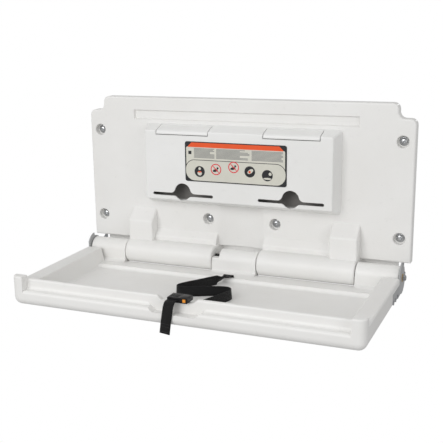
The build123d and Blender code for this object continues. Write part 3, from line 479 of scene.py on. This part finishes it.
# ---- strap -----------------------------------------------------------------------------------
# The child's safety strap: 25 mm black polyester webbing, sewn round a bar under the ledge. It
# comes up through a slot, lies in slack bends on its edge, and runs flat through the buckle.
strap_half = 0.0125
strap_route = [  # x, y, z, how flat the webbing lies (0 on its edge, 1 flat)
    (0.0, -0.1141, -0.2400, 1.0), (0.0, -0.1142, -0.2335, 1.0), (-0.0005, -0.1180, -0.2300, 1.0),
    (-0.0030, -0.1300, -0.2325, 0.8), (-0.0090, -0.1450, -0.2345, 0.5), (-0.0230, -0.1680, -0.2341, 0.1),
    (-0.0500, -0.2100, -0.2341, 0.0), (-0.0760, -0.2440, -0.2341, 0.0), (-0.0830, -0.2660, -0.2341, 0.0),
    (-0.0680, -0.2760, -0.2341, 0.0), (-0.0440, -0.2680, -0.2341, 0.0),
    (0.0140, -0.2400, -0.2341, 0.0), (0.0460, -0.2320, -0.2341, 0.0), (0.0620, -0.2500, -0.2341, 0.0),
    (0.0500, -0.2860, -0.2341, 0.0), (0.0280, -0.3400, -0.2341, 0.0), (0.0110, -0.3770, -0.2341, 0.1),
    (0.0050, -0.3930, -0.2320, 0.5), (0.0035, -0.4020, -0.2225, 0.95), (0.0020, -0.4080, -0.1985, 1.0),
    (-0.0010, -0.4160, -0.1946, 1.0), (-0.0050, -0.4300, -0.1946, 1.0), (-0.0070, -0.4440, -0.1946, 1.0),
    (-0.0080, -0.4555, -0.1955, 1.0), (-0.0100, -0.4600, -0.2060, 1.0), (-0.0140, -0.4585, -0.2260, 1.0),
    (-0.0175, -0.4583, -0.2460, 1.0), (-0.0205, -0.4590, -0.2710, 1.0)]
guide = bpy.data.curves.new("strap_guide", "CURVE")
guide.dimensions = "3D"
spline = guide.splines.new("NURBS")
spline.points.add(len(strap_route) - 1)
for point, (x, y, z, flat) in zip(spline.points, strap_route):
    point.co = (x, y, z, 1)
    point.radius = 1 + flat
spline.order_u = 3
spline.use_endpoint_u = True
guide.resolution_u = 10
guide_object = bpy.data.objects.new("strap_guide", guide)
bpy.context.scene.collection.objects.link(guide_object)
line = bpy.data.meshes.new_from_object(guide_object)
strap_path = [v.co.copy() for v in line.vertices]
bpy.data.objects.remove(guide_object)
bpy.data.meshes.remove(line)

gone = [0.0]
for a, b in zip(strap_path, strap_path[1:]):
    gone.append(gone[-1] + (b - a).length)
strap_length = gone[-1]
print("strap length", round(strap_length, 4), "points", len(strap_path))


def lies_flat(place):
    """How flat the webbing lies at a place on its line, from the route's nearest two points."""
    near = sorted((place - Vector(p[:3])).length + 1e-5 for p in strap_route)[1]
    total = weight = 0.0
    for x, y, z, flat in strap_route:
        w = math.exp(-2.5 * ((place - Vector((x, y, z))).length / near) ** 2)
        total += w * flat
        weight += w
    return total / weight


def strap_axes(i):
    """The webbing's width and thickness directions at one point of its line."""
    ahead = strap_path[min(i + 1, len(strap_path) - 1)] - strap_path[max(i - 1, 0)]
    ahead.normalize()
    flat = lies_flat(strap_path[i])
    flat = flat * flat * (3 - 2 * flat)
    upright = Vector((0, 0, 1)) - ahead * ahead.z
    level = Vector((1, 0, 0)) - ahead * ahead.x
    lean = 0.10 * math.sin(gone[i] * 21.0) * (1 - flat)
    width = upright.normalized() * math.cos(flat * math.pi / 2) + level.normalized() * (
        math.sin(flat * math.pi / 2))
    width = (width - ahead * width.dot(ahead)).normalized()
    width.rotate(Matrix.Rotation(lean, 3, ahead))
    return width, ahead.cross(width)


bm = bmesh.new()
along = bm.verts.layers.float.new("along")
across = bm.verts.layers.float.new("across")
section = [(-1.0, -0.5), (-0.96, -1.0), (0.0, -1.0), (0.96, -1.0), (1.0, -0.5),
           (1.0, 0.5), (0.96, 1.0), (0.0, 1.0), (-0.96, 1.0), (-1.0, 0.5)]
ring = [bm.verts.new((0, 0, 0)) for point in section]
for v, (u, w) in zip(ring, section):
    v[across] = u * strap_half
loop = [bm.edges.new((a, b)) for a, b in zip(ring, ring[1:] + ring[:1])]
bm.faces.new(ring)
for i, middle in enumerate(strap_path):
    if i:
        new = bmesh.ops.extrude_edge_only(bm, edges=loop)["geom"]
        loop = [g for g in new if isinstance(g, bmesh.types.BMEdge)]
        ring = [e.other_vert(v) for v in ring for e in v.link_edges if e.other_vert(v) in new]
    width, normal = strap_axes(i)
    thick = 0.0009 if strap_length - gone[i] > 0.027 else 0.0016
    for v, (u, w) in zip(ring, section):
        v.co = middle + width * u * strap_half + normal * w * thick
        v[along] = gone[i]
bm.faces.new(ring)
bmesh.ops.recalc_face_normals(bm, faces=bm.faces[:])
sewn = bm.loops.layers.uv.new("weave")
for face in bm.faces:
    for corner in face.loops:
        corner[sewn].uv = (corner.vert[across], corner.vert[along])

black_webbing, tree, bsdf, place = shader("black_webbing", (0.006, 0.006, 0.007), 0.5)
bsdf.inputs["Specular IOR Level"].default_value = 0.22
bsdf.inputs["Sheen Weight"].default_value = 0.03
bsdf.inputs["Sheen Roughness"].default_value = 0.4
weave = tree.nodes.new("ShaderNodeUVMap")
weave.uv_map = "weave"
split = tree.nodes.new("ShaderNodeSeparateXYZ")
tree.links.new(weave.outputs["UV"], split.inputs["Vector"])
zigzag = sum_of(tree, "ADD", sum_of(tree, "PINGPONG", split.outputs["X"], 0.0021), split.outputs["Y"])
ribs = sum_of(tree, "SINE", sum_of(tree, "MULTIPLY", zigzag, math.tau / 0.0013), 0.0)
yarns = sum_of(tree, "SINE", sum_of(tree, "MULTIPLY", split.outputs["X"], math.tau / 0.0007), 0.0)
cloth = sum_of(tree, "ADD", ribs, sum_of(tree, "MULTIPLY", yarns, 0.5))
selvedge = between(tree, sum_of(tree, "ABSOLUTE", split.outputs["X"], 0.0), 0.0108, 0.0113, 0.0, 1.0)
shade = between(tree, cloth, -1.5, 1.5, 0.0, 1.0)
tone = tint(tree, shade, (0.003, 0.003, 0.003), (0.013, 0.013, 0.014))
tone = tint(tree, selvedge, tone, (0.009, 0.009, 0.010))
fluff = between(tree, noise(tree, place, 900.0, 4.0, 0.7), 0.55, 0.8, 0.0, 0.5)
tree.links.new(tint(tree, fluff, tone, (0.024, 0.024, 0.025)), bsdf.inputs["Base Color"])
tree.links.new(between(tree, cloth, -1.5, 1.5, 0.62, 0.40), bsdf.inputs["Roughness"])
relief(tree, bsdf, (cloth, 0.00035, 0.6), (noise(tree, place, 2400.0, 2.0), 0.0001, 0.3))
strap = piece("strap", bm, "bed", "black_webbing", black_webbing, crease=60.0)

# The free end is folded back on itself and sewn across with two rows of heavy thread.
bm = bmesh.new()
thread = moulded("black_thread", (0.03, 0.03, 0.032), (0.045, 0.045, 0.047), 0.6, 3000.0, 0.0001)
for row in (0.024, 0.019, 0.004):
    i = min(range(len(gone)), key=lambda n: abs(strap_length - row - gone[n]))
    width, normal = strap_axes(i)
    ahead = width.cross(normal)
    for count in range(9):
        for face_side in (-1, 1):
            middle = strap_path[i] + width * (count - 4) * 0.0025 + normal * face_side * 0.00165
            part = bmesh.new()
            bmesh.ops.create_icosphere(part, subdivisions=2, radius=1.0)
            turn = Matrix((width, ahead, normal)).transposed().to_4x4()
            bmesh.ops.transform(part, matrix=Matrix.Translation(middle) @ turn @ Matrix.Diagonal(
                (0.00105, 0.0004, 0.00035, 1)), verts=part.verts[:])
            join(bm, part)
strap_stitches = piece("strap_stitches", bm, "bed", "black_webbing", thread)

# ---- buckle ----------------------------------------------------------------------------------
# A black nylon buckle that rests in the notch of the front rim. The webbing runs through it, and
# an orange button in its front end, which is pushed in, lets the strap go.
carry("buckle_body", black_plastic)
buckle_low, buckle_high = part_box("buckle_body")
bm = bmesh.new()
middle = (buckle_low + buckle_high) / 2


def bar(bm, low, high, soft, slot_index=0):
    """A moulded bar between two corners, with soft edges."""
    part = bmesh.new()
    for v in bmesh.ops.create_cube(part, size=1.0)["verts"]:
        v.co = [low[i] if v.co[i] < 0 else high[i] for i in range(3)]
    bmesh.ops.bevel(part, geom=part.edges[:], offset=soft, affect="EDGES", segments=3, profile=0.5, material=-1)
    join(bm, part, slot_index)


top = buckle_high.z
for count in range(5):
    y = buckle_low.y + 0.006 + count * 0.0032
    bar(bm, (buckle_low.x + 0.005, y, top - 0.0008), (buckle_low.x + 0.0255, y + 0.0017, top + 0.0007), 0.0005)
bar(bm, (buckle_low.x + 0.031, buckle_low.y + 0.004, top - 0.001),
    (buckle_high.x - 0.003, buckle_high.y - 0.004, top + 0.0008), 0.0007)
for y in (buckle_low.y - 0.0009, buckle_high.y - 0.0009):
    bar(bm, (buckle_low.x + 0.0015, y, middle.z + 0.0022), (buckle_low.x + 0.0285, y + 0.0018, middle.z + 0.0052),
        0.0006)
    bar(bm, (buckle_low.x + 0.0015, y, middle.z - 0.0052), (buckle_low.x + 0.0285, y + 0.0018, middle.z - 0.0022),
        0.0006)
buckle_ribs = piece("buckle_ribs", bm, "bed", "black_plastic", black_plastic)

orange_plastic = moulded("orange_plastic", (0.90, 0.36, 0.03), (0.84, 0.30, 0.022), 0.33, 1700.0, 0.0001)
button_low, button_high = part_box("buckle_button")
bm = bmesh.new()
bar(bm, button_low, button_high, 0.0008)
for count in range(3):
    z = button_low.z + 0.0013 + count * 0.0017
    bar(bm, (button_low.x + 0.001, button_low.y - 0.0004, z), (button_high.x - 0.001, button_low.y + 0.0006, z + 0.0010),
        0.0003)
release_button = piece("release_button", bm, "release", "orange_plastic", orange_plastic)
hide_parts("buckle_button")

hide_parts("strap_root", "strap_loops", "strap_rise", "strap_tail")
